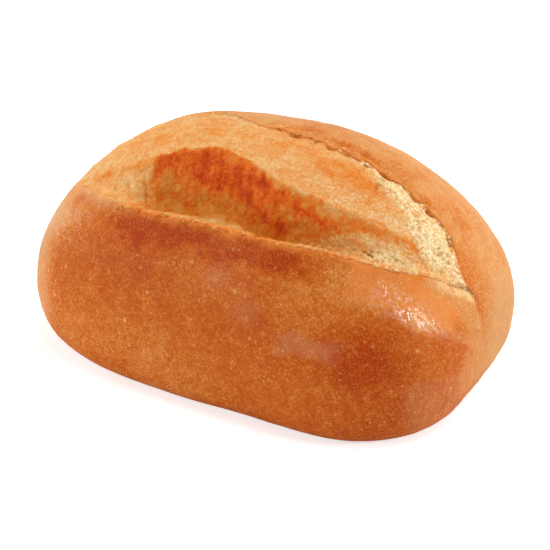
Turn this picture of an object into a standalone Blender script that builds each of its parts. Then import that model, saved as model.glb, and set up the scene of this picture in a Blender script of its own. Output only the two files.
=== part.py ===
"""An oval bread roll, baked with one long cut on top that has torn open.

The roll is one solid. A sphere's rings become slices across the long axis X, and its lines run
from end to end. Each point is first put on a smooth loaf shape with a flat base. The lines between
the two lips of the tear are then sunk and raised: a crevice behind the front lip, a hollow face
that climbs to a ridge, and a crown that ends in a low step at the back lip. Front is -Y, and the
origin is under the middle of the roll, on its base.
"""

import math

import bmesh
import bpy
from mathutils import Vector, noise

MM = 0.001

# The loaf shape. A station runs from -1 at the -X end to +1 at the +X end.
LENGTH = 105.0 * MM
WIDTH = 70.8 * MM  # at the middle
HEIGHT = 54.1 * MM
HEART_HEIGHT = 11.3 * MM  # the widest level, and the axis that side angles are measured round
BASE_CUT = 4.65 * MM  # how far the round underside would reach below the flat base
BASE_EDGE = 1.6 * MM  # the height over which the side turns into the base
END_TAPER = 0.132  # how much wider the +X end is than the middle
CROWN_TILT = 0.032  # how much higher it is
PLAN_POWER = 3.34  # 2 is an ellipse, more is squarer
CROWN_PROFILE_POWER = 2.09
CROWN_SECTION_POWER = 2.055
UNDERSIDE_PROFILE_POWER = 3.37
UNDERSIDE_SECTION_POWER = 3.09

# The tear. Side angles are in degrees from straight up, and those towards the front are below 0.
LIP_STATIONS = (-0.95, -0.85, -0.70, -0.50, -0.35, -0.10, 0.20, 0.50, 0.70, 0.81, 0.87, 0.92, 0.96)
FRONT_LIP_ANGLES = (-2.0, -19.0, -32.5, -37.8, -39.8, -40.4, -40.6, -39.1, -37.3, -31.5, -26.0, -19.6, -4.8)
BACK_LIP_ANGLES = (2.0, 8.0, 12.0, 14.5, 13.0, 3.2, 1.4, 0.2, 0.2, -1.5, -9.0, -13.0, -3.0)
RIDGE_ANGLES = (0.0, -10.0, -21.0, -22.6, -19.3, -17.3, -23.0, -25.0, -21.9, -20.5, -20.0, -16.8, -4.0)

# How far the skin lies out from the loaf shape across the middle of the tear. A share of 0 is the
# front lip and 1 the ridge on the face, and 0 is the ridge and 1 the back lip on the crown.
LIP_ROLL = 0.5 * MM
LIP_ROLL_WIDTH = 6.0  # degrees of crust, outside a lip, that rise to it
CREVICE_DEPTH = 5.0 * MM
CREVICE_PLACE = 0.14
CREVICE_LEAST = 0.14  # the share of its depth that the crevice keeps where the face is closed
CREVICE_WALL_PLACE = 0.45 * CREVICE_PLACE
CREVICE_WALL_SHARE = 0.62  # how much of the crevice's depth is reached at that place
HOLLOW_DEPTH = 5.4 * MM
HOLLOW_PLACE = 0.36
HOLLOW_LEAST = 0.26  # as for the crevice
CLIMB_PLACES = (0.66, 0.88)  # on the climb from the hollow to the ridge
CLIMB_SHARES = (0.66, 0.17)  # the share of the hollow's depth that is left there
RIDGE_RISE = 0.9 * MM
CROWN_RISE = 0.3 * MM
CROWN_PLACES = (0.15, 0.50)  # the level stretch of the crown
DIP_PLACE = 0.84  # where the crown has begun to dip towards the step
DIP_SHARE = 0.35
BACK_STEP = 1.4 * MM
STEP_PLACES = (0.945, 0.975)  # the foot of the step
BACK_LIP_RISE = 0.2 * MM

# Where along the roll the tear is open
TEAR_FADE = 0.30  # the stretch at each end of the tear over which it reaches its full depth
FACE_START = -0.47  # the stations where the hollow face begins and ends
FACE_START_FADE = 0.13
FACE_END = 0.74
FACE_END_FADE = 0.45

# Unevenness
LUMP_SIZE = 26.0 * MM
LUMP_RISE = 1.2 * MM
WANDER_SIZE = 11.0 * MM
WANDER_DETAIL = 0.35  # the share of finer drift
WANDER_DETAIL_SCALE = 1.9
LANE_GAP = 5.3  # keeps the drifts of different lines apart
FRONT_LIP_LANE, BACK_LIP_LANE, RIDGE_LANE, CREVICE_LANE, HOLLOW_LANE = 1, 2, 3, 4, 5
LIP_WANDER = 1.1  # degrees
FACE_WANDER = 0.9 * MM
SEED = Vector((6.3, 6.0, 6.3))

# The mesh: slices along the roll, and lines counted from under its middle by way of the front
SLICES = 66
LINES_BASE = 4
LINES_FRONT = 18
LINES_FACE = 12
LINES_CROWN = 15
LINES_BACK = 17
LINES = LINES_BASE + LINES_FRONT + LINES_FACE + LINES_CROWN + LINES_BACK + LINES_BASE
LEAST_FAN = 12.0  # the degrees that the lines of the tear take up at least, where it closes
END_FAN = 90.0  # and how many more at the very ends of the roll
FAN_START = 0.955
MOST_CORNER_ANGLE = 122.0  # the largest side angle of the line along the edge of the base
END_SMOOTHED = 0.993  # the share of the half length beyond which the ends are smoothed
END_SMOOTHINGS = 12
END_SMOOTHING_FACTOR = 0.5
CROWDING_ON_WALLS = 0.45  # 0 spaces the lines evenly, 1 crowds them most at both edges
CROWDING_ON_FACE = 0.75
CROWDING_ON_CROWN = 0.6

CRUST_COLOUR = (0.62, 0.26, 0.06, 1.0)
CRUST_ROUGHNESS = 0.45


def clear_scene():
    for obj in list(bpy.data.objects):
        bpy.data.objects.remove(obj, do_unlink=True)


def ease(share):
    """0 to 1, smoothly."""
    share = min(1.0, max(0.0, share))
    return share * share * (3.0 - 2.0 * share)


def along(value, places, levels):
    """A smooth line through the levels given at the places."""
    if value <= places[0]:
        return levels[0]
    for i in range(len(places) - 1):
        if value <= places[i + 1]:
            before, after = max(i - 1, 0), min(i + 2, len(places) - 1)
            span = places[i + 1] - places[i]
            slope_in = (levels[i + 1] - levels[before]) / (places[i + 1] - places[before])
            slope_out = (levels[after] - levels[i]) / (places[after] - places[i])
            t = (value - places[i]) / span
            return (
                (2 * t**3 - 3 * t**2 + 1) * levels[i]
                + (t**3 - 2 * t**2 + t) * span * slope_in
                + (3 * t**2 - 2 * t**3) * levels[i + 1]
                + (t**3 - t**2) * span * slope_out
            )
    return levels[-1]


def uneven(place):
    return noise.noise(place + SEED, noise_basis="PERLIN_NEW")


def wander(station, lane):
    """An uneven value from about -1 to 1 that drifts along the roll; each lane has its own."""
    place = Vector((station * LENGTH / 2 / WANDER_SIZE, lane * LANE_GAP, 0.0))
    return uneven(place) + WANDER_DETAIL * uneven(place * WANDER_DETAIL_SCALE)


def front_lip(station):
    return along(station, LIP_STATIONS, FRONT_LIP_ANGLES) + LIP_WANDER * wander(station, FRONT_LIP_LANE)


def back_lip(station):
    return along(station, LIP_STATIONS, BACK_LIP_ANGLES) + LIP_WANDER * wander(station, BACK_LIP_LANE)


def ridge(station):
    return along(station, LIP_STATIONS, RIDGE_ANGLES) + LIP_WANDER * wander(station, RIDGE_LANE)


def tear_open(station):
    """How deep the tear is: 0 at its two ends, 1 along its middle."""
    return ease((station - LIP_STATIONS[0]) / TEAR_FADE) * ease((LIP_STATIONS[-1] - station) / TEAR_FADE)


def face_open(station):
    """How hollow the face is: it starts abruptly and fades out slowly."""
    return ease((station - FACE_START) / FACE_START_FADE) * ease((FACE_END - station) / FACE_END_FADE)


def face_offset(station, share):
    """The skin from the front lip, at a share of 0, to the ridge, at 1."""
    hollow = face_open(station)
    crevice = CREVICE_DEPTH * (CREVICE_LEAST + (1.0 - CREVICE_LEAST) * hollow)
    crevice += FACE_WANDER * wander(station, CREVICE_LANE) * hollow
    pit = HOLLOW_DEPTH * (HOLLOW_LEAST + (1.0 - HOLLOW_LEAST) * hollow)
    pit += FACE_WANDER * wander(station, HOLLOW_LANE) * hollow
    climb = [-left * pit for left in CLIMB_SHARES]
    places = (0.0, CREVICE_WALL_PLACE, CREVICE_PLACE, HOLLOW_PLACE, *CLIMB_PLACES, 1.0)
    levels = (LIP_ROLL, -CREVICE_WALL_SHARE * crevice, -crevice, -pit, *climb, RIDGE_RISE * hollow)
    return tear_open(station) * along(share, places, levels)


def crown_offset(station, share):
    """The skin from the ridge, at a share of 0, to the back lip, at 1."""
    hollow = face_open(station)
    rise = CROWN_RISE * hollow
    dip = -DIP_SHARE * BACK_STEP
    places = (0.0, *CROWN_PLACES, DIP_PLACE, *STEP_PLACES, 1.0)
    levels = (RIDGE_RISE * hollow, rise, rise, dip, -BACK_STEP, -BACK_STEP, BACK_LIP_RISE)
    return tear_open(station) * along(share, places, levels)


def skin_offset(station, side):
    """How far the skin lies out from the loaf shape at a station and a side angle."""
    front, top, back = front_lip(station), ridge(station), back_lip(station)
    if front < side <= top:
        return face_offset(station, (side - front) / (top - front))
    if top < side < back:
        return crown_offset(station, (side - top) / (back - top))
    beyond, rise = (front - side, LIP_ROLL) if side <= front else (side - back, BACK_LIP_RISE)
    return rise * tear_open(station) * (1.0 - ease(beyond / LIP_ROLL_WIDTH))


def crowded(share, crowding):
    """A share from 0 to 1 whose steps grow smaller towards both ends."""
    return share - crowding * math.sin(2 * math.pi * share) / (2 * math.pi)


def base_corner(station):
    """Side angle at which the side of the roll turns into its base."""
    rise = (HEART_HEIGHT + BASE_CUT) * rounded(station, UNDERSIDE_PROFILE_POWER)
    if rise <= HEART_HEIGHT:
        return MOST_CORNER_ANGLE
    left = (1.0 - (HEART_HEIGHT / rise) ** UNDERSIDE_SECTION_POWER) ** (1.0 / UNDERSIDE_SECTION_POWER)
    return min(MOST_CORNER_ANGLE, math.degrees(math.atan2(half_width(station) * left, -HEART_HEIGHT)))


def line_angle(line, station):
    """Side angle of a mesh line, from -180 under the roll by way of the front to 180."""
    front, top, back = front_lip(station), ridge(station), back_lip(station)
    fan = LEAST_FAN + END_FAN * ease((abs(station) - FAN_START) / (1.0 - FAN_START))
    spare = max(0.0, fan - (back - front)) / 2
    front, back = front - spare, back + spare
    corner = base_corner(station)
    bands = (
        (LINES_BASE, -180.0, -corner, CROWDING_ON_WALLS),
        (LINES_FRONT, -corner, front, CROWDING_ON_WALLS),
        (LINES_FACE, front, top, CROWDING_ON_FACE),
        (LINES_CROWN, top, back, CROWDING_ON_CROWN),
        (LINES_BACK, back, corner, CROWDING_ON_WALLS),
        (LINES_BASE, corner, 180.0, CROWDING_ON_WALLS),
    )
    for lines, start, end, crowding in bands:
        if line <= lines:
            return start + (end - start) * crowded(line / lines, crowding)
        line -= lines
    return 180.0


def rounded(station, power):
    """What is left of a half size at a station, on an outline of the given power."""
    return max(0.0, 1.0 - abs(station) ** power) ** (1.0 / power)


def half_width(station):
    return WIDTH / 2 * (1.0 + END_TAPER * station) * rounded(station, PLAN_POWER)


def loaf_reach(station, side):
    """How far the loaf shape is from its axis, at a station and a side angle in radians."""
    if math.cos(side) > 0.0:
        rise = (HEIGHT - HEART_HEIGHT) * (1.0 + CROWN_TILT * station) * rounded(station, CROWN_PROFILE_POWER)
        power = CROWN_SECTION_POWER
    else:
        rise = (HEART_HEIGHT + BASE_CUT) * rounded(station, UNDERSIDE_PROFILE_POWER)
        power = UNDERSIDE_SECTION_POWER
    across = half_width(station)
    if rise <= 0.0 or across <= 0.0:
        return 0.0
    return (abs(math.sin(side) / across) ** power + abs(math.cos(side) / rise) ** power) ** (-1.0 / power)


def flattened(height):
    """The height with all below the base brought up to it, and a rounded turn into it."""
    if height <= -BASE_EDGE:
        return 0.0
    if height >= BASE_EDGE:
        return height
    return (height + BASE_EDGE) ** 2 / (4 * BASE_EDGE)


def skin_point(station, side_degrees):
    """The finished place of a point of the skin."""
    side = math.radians(side_degrees)
    outward = Vector((0.0, math.sin(side), math.cos(side)))
    point = Vector((station * LENGTH / 2, 0.0, 0.0)) + outward * loaf_reach(station, side)
    point += outward * skin_offset(station, side_degrees)
    point += point.normalized() * LUMP_RISE * uneven(point / LUMP_SIZE)
    point.z = flattened(point.z + HEART_HEIGHT)
    return point


def slice_station(polar):
    """The station of a slice, spaced so that the slices are even round the outline seen from above."""
    across, up = abs(math.cos(polar)), abs(math.sin(polar))
    station = across / (across**PLAN_POWER + up**PLAN_POWER) ** (1.0 / PLAN_POWER)
    return min(1.0, station) * (-1.0 if polar < math.pi / 2 else 1.0)


def shape_skin(mesh):
    """Moves the vertices of a sphere, whose poles lie on Z, onto the roll's skin."""
    for vert in mesh.verts:
        unit = vert.co.normalized()
        station = slice_station(math.acos(max(-1.0, min(1.0, -unit.z))))
        turn = math.atan2(unit.x, unit.y) / (2 * math.pi)  # the sphere's first line lies at +Y
        line = round((turn % 1.0) * LINES)
        vert.co = skin_point(station, line_angle(line, station))


def smooth_ends(mesh):
    """Evens out the two points where the mesh lines meet."""
    ends = [v for v in mesh.verts if abs(v.co.x) > END_SMOOTHED * LENGTH / 2]
    every = {"use_axis_x": True, "use_axis_y": True, "use_axis_z": True}
    for _ in range(END_SMOOTHINGS):
        bmesh.ops.smooth_vert(mesh, verts=ends, factor=END_SMOOTHING_FACTOR, **every)


def centre_on_base(mesh):
    """Puts the middle of the roll's box over the origin, with the base on it."""
    low = Vector(min(v.co[i] for v in mesh.verts) for i in range(3))
    high = Vector(max(v.co[i] for v in mesh.verts) for i in range(3))
    middle = (low + high) / 2
    bmesh.ops.translate(mesh, vec=(-middle.x, -middle.y, -low.z), verts=mesh.verts)


def crust_material():
    material = bpy.data.materials.new("baked_crust")
    material.use_nodes = True
    shader = material.node_tree.nodes["Principled BSDF"]
    shader.inputs["Base Color"].default_value = CRUST_COLOUR
    shader.inputs["Roughness"].default_value = CRUST_ROUGHNESS
    shader.inputs["Metallic"].default_value = 0.0
    return material


def make_bread_roll(collection):
    mesh = bmesh.new()
    bmesh.ops.create_uvsphere(mesh, u_segments=LINES, v_segments=SLICES, radius=1.0)
    shape_skin(mesh)
    smooth_ends(mesh)
    centre_on_base(mesh)
    bmesh.ops.recalc_face_normals(mesh, faces=mesh.faces)
    data = bpy.data.meshes.new("bread_roll")
    mesh.to_mesh(data)
    mesh.free()
    data.shade_smooth()
    data.materials.append(crust_material())
    roll = bpy.data.objects.new("bread_roll", data)
    collection.objects.link(roll)
    return roll


def main():
    clear_scene()
    collection = bpy.data.collections.new("bread_roll")
    bpy.context.scene.collection.children.link(collection)
    make_bread_roll(collection)


main()
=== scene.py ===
import math
from types import SimpleNamespace

import bpy
import numpy as np
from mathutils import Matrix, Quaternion, Vector, noise


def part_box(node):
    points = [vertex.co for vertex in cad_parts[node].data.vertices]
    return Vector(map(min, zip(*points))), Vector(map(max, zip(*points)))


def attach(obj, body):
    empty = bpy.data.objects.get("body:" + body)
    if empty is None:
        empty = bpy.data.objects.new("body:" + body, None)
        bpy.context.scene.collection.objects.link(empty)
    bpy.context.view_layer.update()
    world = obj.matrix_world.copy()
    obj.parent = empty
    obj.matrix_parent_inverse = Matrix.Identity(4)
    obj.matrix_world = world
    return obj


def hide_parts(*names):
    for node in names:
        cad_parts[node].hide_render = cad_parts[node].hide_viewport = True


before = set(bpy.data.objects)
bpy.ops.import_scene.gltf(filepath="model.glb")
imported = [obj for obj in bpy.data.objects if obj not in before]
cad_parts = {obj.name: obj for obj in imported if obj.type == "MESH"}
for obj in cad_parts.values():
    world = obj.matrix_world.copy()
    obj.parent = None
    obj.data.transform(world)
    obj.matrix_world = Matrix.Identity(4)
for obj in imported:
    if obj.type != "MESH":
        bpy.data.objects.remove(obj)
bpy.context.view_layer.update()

lowCorner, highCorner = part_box("bread_roll")
millimetre = 0.001


def deselectAll():
    bpy.ops.object.select_all(action="DESELECT")


def pickOnly(thing):
    deselectAll()
    thing.select_set(True)
    bpy.context.view_layer.objects.active = thing


def applyModifiers(thing):
    pickOnly(thing)
    for modifier in list(thing.modifiers):
        bpy.ops.object.modifier_apply(modifier=modifier.name)


def directionOf(turn, rise):  # degrees round the roll from its front, and up from level
    turn, rise = math.radians(turn), math.radians(rise)
    return Vector((math.sin(turn) * math.cos(rise), -math.cos(turn) * math.cos(rise), math.sin(rise)))


def blendStep(low, high, value):  # 0 at low and 1 at high, which may be the smaller one
    share = np.clip((value - low) / (high - low), 0.0, 1.0)
    return share * share * (3.0 - 2.0 * share)


def between(low, high, soft, value):  # 1 from low to high, fading out over soft at both ends
    return blendStep(low - soft, low, value) * blendStep(high + soft, high, value)


def bell(offset, half):  # 1 where the offset is 0, fading out on both sides of it
    return np.exp(-((offset / half) ** 2))


def opening(opens, closes, value):  # 0 before and after both pairs of edges, and 1 between the pairs
    return blendStep(*opens, value) * blendStep(*closes[::-1], value)


def toward(values, goal, share):  # values moved to the goal by the share
    return values + (goal - values) * share


# the camera looks from above the front, turned towards the fuller end

cameraSettings = {
    "turn": 25.465,  # degrees round the roll
    "rise": 28.39,
    "roll": 1.43,
    "distance": 0.6,
    "aim": (0.001477, 0.0, 0.017594),
    "lens": 176.03,  # millimetres, as the sensor
    "sensor": 36.0,
    "nearest": 0.01,
}


def placeCamera(settings):
    back = directionOf(settings["turn"], settings["rise"])
    bpy.ops.object.camera_add(location=Vector(settings["aim"]) + back * settings["distance"])
    camera = bpy.context.object
    camera.name = "tableCamera"
    camera.rotation_mode = "QUATERNION"
    roll = Quaternion((0.0, 0.0, 1.0), math.radians(settings["roll"]))
    camera.rotation_quaternion = (-back).to_track_quat("-Z", "Y") @ roll
    camera.data.sensor_width = settings["sensor"]
    camera.data.lens = settings["lens"]
    camera.data.clip_start = settings["nearest"]
    bpy.context.scene.camera = camera


deselectAll()
placeCamera(cameraSettings)
print("camera placed")


# the tear's lines, and a map of every point of the roll: a station is the place along the roll, from -1 at
# the slimmer end to 1 at the fuller one, and an angle is in degrees from straight up, below 0 at the front

rollSettings = {
    "axisX": 0.26 * millimetre,  # the line that the angles are measured round
    "axisY": -0.16 * millimetre,
    "axisZ": 11.3 * millimetre,
    "halfLength": 52.5 * millimetre,
}

tearSettings = {
    "stations": (-0.95, -0.85, -0.70, -0.50, -0.35, -0.10, 0.20, 0.50, 0.70, 0.81, 0.87, 0.92, 0.96),
    "frontLip": (-2.0, -19.0, -32.5, -37.8, -39.8, -40.4, -40.6, -39.1, -37.3, -31.5, -26.0, -19.6, -4.8),
    "backLip": (2.0, 8.0, 12.0, 14.5, 13.0, 3.2, 1.4, 0.2, 0.2, -1.5, -9.0, -13.0, -3.0),
    "ridge": (0.0, -10.0, -21.0, -22.6, -19.3, -17.3, -23.0, -25.0, -21.9, -20.5, -20.0, -16.8, -4.0),
    "lanes": {"frontLip": 1, "backLip": 2, "ridge": 3},  # each line wanders by itself
    "laneGap": 5.3,
    "wander": 1.1,  # degrees
    "wanderSize": 11.0 * millimetre,
    "finerWander": 1.9,  # how much finer the second, weaker wander is
    "finerShare": 0.35,
    "lumpSize": 26.0 * millimetre,
    "lumpRise": 1.2 * millimetre,
    "seed": (6.3, 6.0, 6.3),
    "opens": (-0.95, -0.91),  # stations
    "closes": (0.925, 0.948),
    "closingSlant": 0.0035,  # towards the front lip it closes sooner, by this for each degree
    "slantFrom": -12.0,
    "slantDegrees": 30.0,
    "slimEnd": (-0.62, -0.48),  # towards the slimmer end its edges are softer
    "faceOpens": (-0.43, -0.39),  # the steep face behind the front lip, as above
    "faceCloses": (0.29, 0.74),
    "raggedStarts": (-0.62, -0.50),  # where the front lip is most ragged
    "raggedEnds": (0.10, 0.55),
    "raggedLeast": 0.25,  # its share elsewhere
    "raggedFront": {"fine": 3.0, "patch": 1.6, "tiny": 1.2},  # degrees
    "raggedLowest": -0.9,
    "raggedBack": {"fine": 1.6, "patch": 1.2},
    "backInset": 1.3,  # degrees that the crumb's edge lies in front of the back lip
    "troughBelow": 1.2,  # the step's foot, in degrees in front of the back lip
    "troughHalf": 1.3,
    "troughStations": (-0.3, 0.90, 0.1),
}

fieldSettings = {  # uneven fields over the skin: size, seed, and how far each is drawn out along the roll
    "broad": (12.0 * millimetre, 1, 1.0),
    "patch": (5.0 * millimetre, 2, 1.0),
    "fine": (1.8 * millimetre, 3, 1.0),
    "streak": (1.6 * millimetre, 4, 4.0),
    "tiny": (0.9 * millimetre, 5, 1.0),
    "drip": (4.0 * millimetre, 6, 0.35),
}
seedSteps = (7.1, 3.3, 5.7)  # each seed reads another part of the noise
fineness = 2.1  # of the finer noise over each field


def unevenAt(place):
    return noise.noise(place + Vector(tearSettings["seed"]), noise_basis="PERLIN_NEW")


def wanderAt(station, lane):
    along = station * rollSettings["halfLength"] / tearSettings["wanderSize"]
    place = Vector((along, lane * tearSettings["laneGap"], 0.0))
    return unevenAt(place) + tearSettings["finerShare"] * unevenAt(place * tearSettings["finerWander"])


def alongLine(value, places, levels):  # a smooth line through the levels at the places
    for i in range(len(places) - 1):
        if value <= places[i + 1]:
            before, after = max(i - 1, 0), min(i + 2, len(places) - 1)
            span = places[i + 1] - places[i]
            slopeIn = (levels[i + 1] - levels[before]) / (places[i + 1] - places[before])
            slopeOut = (levels[after] - levels[i]) / (places[after] - places[i])
            t = max(0.0, (value - places[i]) / span)
            return (
                (2 * t**3 - 3 * t**2 + 1) * levels[i]
                + (t**3 - 2 * t**2 + t) * span * slopeIn
                + (3 * t**2 - 2 * t**3) * levels[i + 1]
                + (t**3 - t**2) * span * slopeOut
            )
    return levels[-1]


def lipAngle(name, stations):  # the angle of one of the tear's lines, at each of the stations
    places, levels, lane = tearSettings["stations"], tearSettings[name], tearSettings["lanes"][name]
    readings = np.linspace(-1.0, 1.0, 801)
    angles = []
    for station in readings:
        drift = tearSettings["wander"] * wanderAt(station, lane) if station > places[0] else 0.0
        angles.append(alongLine(station, places, levels) + drift)
    return np.interp(stations, readings, angles)


def placeOf(point):  # the station along the roll and the angle round it
    point = point - Vector((rollSettings["axisX"], rollSettings["axisY"], rollSettings["axisZ"]))
    plain = point.copy()
    for _ in range(2):  # undo the lumps, which moved the point along its own direction
        lump = tearSettings["lumpRise"] * unevenAt(plain / tearSettings["lumpSize"])
        plain = point - point.normalized() * lump
    return plain.x / rollSettings["halfLength"], math.degrees(math.atan2(point.y, point.z))


def noiseField(points, size, seed, stretch):  # smooth noise from about -1 to 1, with finer noise over it
    values = np.zeros(len(points))
    shift = Vector([seed * step for step in seedSteps])
    for i, point in enumerate(points):
        place = Vector((point.x / stretch, point.y, point.z)) / size + shift
        finer = noise.noise(place * fineness, noise_basis="PERLIN_NEW")
        values[i] = noise.noise(place, noise_basis="PERLIN_NEW") + 0.5 * finer
    return values


def uneven(at, shares):  # the named fields, each by its share
    return sum(share * getattr(at, name) for name, share in shares.items())


def mapRoll(thing):  # where each vertex is, and the uneven fields and masks that all else is made from
    points = [vert.co.copy() for vert in thing.data.vertices]
    places = np.array([placeOf(point) for point in points])
    at = SimpleNamespace(station=places[:, 0], angle=places[:, 1])
    at.depth = np.array([point.y for point in points])
    at.height = np.array([point.z for point in points])
    for name, (size, seed, stretch) in fieldSettings.items():
        setattr(at, name, noiseField(points, size, seed, stretch))
    for name in tearSettings["lanes"]:
        setattr(at, name, lipAngle(name, at.station))
    mapTear(at, tearSettings)
    return at


def mapTear(at, settings):
    mostRagged = opening(settings["raggedStarts"], settings["raggedEnds"], at.station)
    raggedShare = settings["raggedLeast"] + (1.0 - settings["raggedLeast"]) * mostRagged
    ragged = np.maximum(uneven(at, settings["raggedFront"]) * raggedShare, settings["raggedLowest"])
    at.raggedFront = at.frontLip + ragged
    at.raggedBack = at.backLip - settings["backInset"] + uneven(at, settings["raggedBack"])
    trough = bell(at.backLip - at.angle - settings["troughBelow"], settings["troughHalf"])
    at.trough = trough * between(*settings["troughStations"], at.station)
    at.faceShare = np.clip((at.angle - at.frontLip) / (at.ridge - at.frontLip), 0.0, 1.0)  # 1 at the ridge
    at.faceOpen = opening(settings["faceOpens"], settings["faceCloses"], at.station)
    belowSlant = np.clip(settings["slantFrom"] - at.angle, 0.0, settings["slantDegrees"])
    slant = settings["closingSlant"] * belowSlant
    opened = blendStep(*settings["opens"], at.station)
    at.tearLength = opened * blendStep(*settings["closes"][::-1], at.station + slant)
    at.slimEnd = blendStep(*settings["slimEnd"][::-1], at.station)


def spot(at, station, angle, length, height):  # a soft oval patch
    return bell(at.station - station, length) * bell(at.angle - angle, height)


def zone(at, stations, angles, wander=0.0):  # a soft-edged box, each side low, high and soft edge
    return between(*stations, at.station) * between(*angles, at.angle + wander)


def spots(at, patches):  # the sum of soft oval patches, each an amount and what spot takes
    return sum(amount * spot(at, *place) for amount, *place in patches)


def strip(at, stations, angles, half):  # a soft stripe that runs through the given places
    line = np.interp(at.station, stations, angles)
    return bell(at.angle - line, half) * between(stations[0], stations[-1], 0.03, at.station)


# relief: each Displace modifier works through its own vertex group

def groupByWeight(thing, name, weights, least):
    group = thing.vertex_groups.new(name=name)
    for i in np.nonzero(weights > least)[0]:
        group.add([int(i)], float(weights[i]), "REPLACE")


def pushSkin(thing, name, weights, strength, texture=None):
    groupByWeight(thing, name, np.clip(weights, 0.0, 1.0), 0.002)
    push = thing.modifiers.new(name, "DISPLACE")
    push.vertex_group = name
    push.strength = strength
    push.mid_level = 0.0
    if texture:
        push.texture = texture
        push.texture_coords = "LOCAL"
        push.mid_level = 0.5
    applyModifiers(thing)
    thing.vertex_groups.remove(thing.vertex_groups[name])


def cloudTexture(name, size, depth):
    texture = bpy.data.textures.new(name, "CLOUDS")
    texture.noise_scale = size
    texture.noise_depth = depth
    texture.noise_basis = "IMPROVED_PERLIN"
    return texture


def pebbleTexture(name, size):  # round grains with creases between them
    texture = bpy.data.textures.new(name, "VORONOI")
    texture.noise_scale = size
    texture.noise_intensity = 1.2
    texture.distance_metric = "DISTANCE"
    return texture


def saveAttribute(thing, name, values):
    attribute = thing.data.attributes.new(name, "FLOAT", "POINT")
    attribute.data.foreach_set("value", np.clip(values, 0.0, 1.0).astype(np.float32))


def copyRoll(name):  # the fixed model's own mesh, welded, in four-sided faces
    roll = bpy.data.objects.new(name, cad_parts["bread_roll"].data.copy())
    bpy.context.scene.collection.objects.link(roll)
    pickOnly(roll)
    roll.data.materials.clear()
    if roll.data.has_custom_normals:
        bpy.ops.mesh.customdata_custom_splitnormals_clear()
    bpy.ops.object.mode_set(mode="EDIT")
    bpy.ops.mesh.select_all(action="SELECT")
    bpy.ops.mesh.remove_doubles(threshold=0.005 * millimetre)
    turn = math.radians(60.0)
    bpy.ops.mesh.tris_convert_to_quads(face_threshold=turn, shape_threshold=turn)
    bpy.ops.object.mode_set(mode="OBJECT")
    return roll


def evenOut(thing, settings):  # a rounder skin in even, small faces
    smoothing = thing.modifiers.new("smoothing", "SUBSURF")
    smoothing.levels = smoothing.render_levels = settings["smoothings"]
    remeshing = thing.modifiers.new("remeshing", "REMESH")
    remeshing.mode = "VOXEL"
    remeshing.voxel_size = settings["faceSize"]
    calming = thing.modifiers.new("calming", "SMOOTH")
    calming.factor = 0.5
    calming.iterations = settings["calmings"]
    applyModifiers(thing)
    bpy.ops.object.shade_smooth()


easeSettings = {
    "height": 3.5,  # degrees on both sides of the step's middle
    "endHeight": 6.0,  # more of them past the end stations
    "end": (0.80, 0.90),
    "stations": (-0.35, 0.98, 0.05),
    "factor": 0.6,
    "rounds": 24,
}


def easeStep(thing, at, settings):  # softens the steep step under the back lip
    height = settings["height"] + settings["endHeight"] * blendStep(*settings["end"], at.station)
    near = bell(at.angle - at.backLip + 1.0, height) * between(*settings["stations"], at.station)
    groupByWeight(thing, "ease", near, 0.01)
    easing = thing.modifiers.new("ease", "SMOOTH")
    easing.vertex_group = "ease"
    easing.factor = settings["factor"]
    easing.iterations = settings["rounds"]
    applyModifiers(thing)
    thing.vertex_groups.remove(thing.vertex_groups["ease"])


def countOf(thing):
    thing.data.calc_loop_triangles()
    return f"{len(thing.data.vertices)} vertices, {len(thing.data.loop_triangles)} triangles"


# the crust is the whole skin, sunk inside the tear

crustSettings = {
    "smoothings": 2,
    "faceSize": 0.57 * millimetre,
    "calmings": 3,
    "waves": 0.45 * millimetre,
    "wavesSize": 7.0 * millimetre,
    "wrinkles": 0.16 * millimetre,
    "wrinklesSize": 2.4 * millimetre,
    "plainFoot": 3.0 * millimetre,  # the waves and wrinkles fade out down to the flat base
    "sink": 1.5 * millimetre,
    "edgeRough": 1.5 * millimetre,
    "edgeRoughSize": 1.9 * millimetre,
    "edgeStations": (-0.60, 0.55, 0.2),
    "edgeHalf": 2.2,
    "backEdgeRough": 0.5 * millimetre,
    "backEdgeRoughSize": 3.0 * millimetre,
    "backEdgeStations": (-0.10, 0.90, 0.1),
    "backEdgeHalf": 2.0,
    "backFill": 0.55 * millimetre,
    "crackStations": (0.90, 0.919, 0.938, 0.950),  # the thin split that runs on from the tear's tip
    "crackAngles": (-13.4, -14.3, -11.8, -9.0),
    "crackHalf": 1.3,
    "crackDepth": 0.25 * millimetre,
    "paleStations": (0.80, 0.850, 0.874, 0.914, 0.935, 0.950),  # the pale skin's lower edge
    "paleAngles": (-33.0, -30.0, -28.5, -24.5, -20.0, -14.5),
}


def insideTear(at):
    soft = 0.4 + 2.4 * at.slimEnd
    inside = blendStep(-0.1, 2.0 * soft, at.angle - at.raggedFront)
    return inside * blendStep(0.1, -0.7, at.angle - at.raggedBack) * at.tearLength


def roughen(thing, at, settings):  # the crust's unevenness, which the edges of the crumb follow
    outside = (1.0 - insideTear(at)) * blendStep(0.0, settings["plainFoot"], at.height)
    frontEdge = bell(at.angle - at.frontLip + 1.0, settings["edgeHalf"])
    frontEdge = frontEdge * between(*settings["edgeStations"], at.station)
    backEdge = bell(at.angle - at.backLip, settings["backEdgeHalf"])
    backEdge = backEdge * between(*settings["backEdgeStations"], at.station)
    rough = (
        ("waves", outside, 1),
        ("wrinkles", outside, 1),
        ("edgeRough", frontEdge * outside, 2),
        ("backEdgeRough", backEdge * outside, 2),
    )
    for name, weights, depth in rough:
        pushSkin(thing, name, weights, settings[name], cloudTexture(name, settings[name + "Size"], depth))
    pushSkin(thing, "backFill", at.trough * outside, settings["backFill"])


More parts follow.
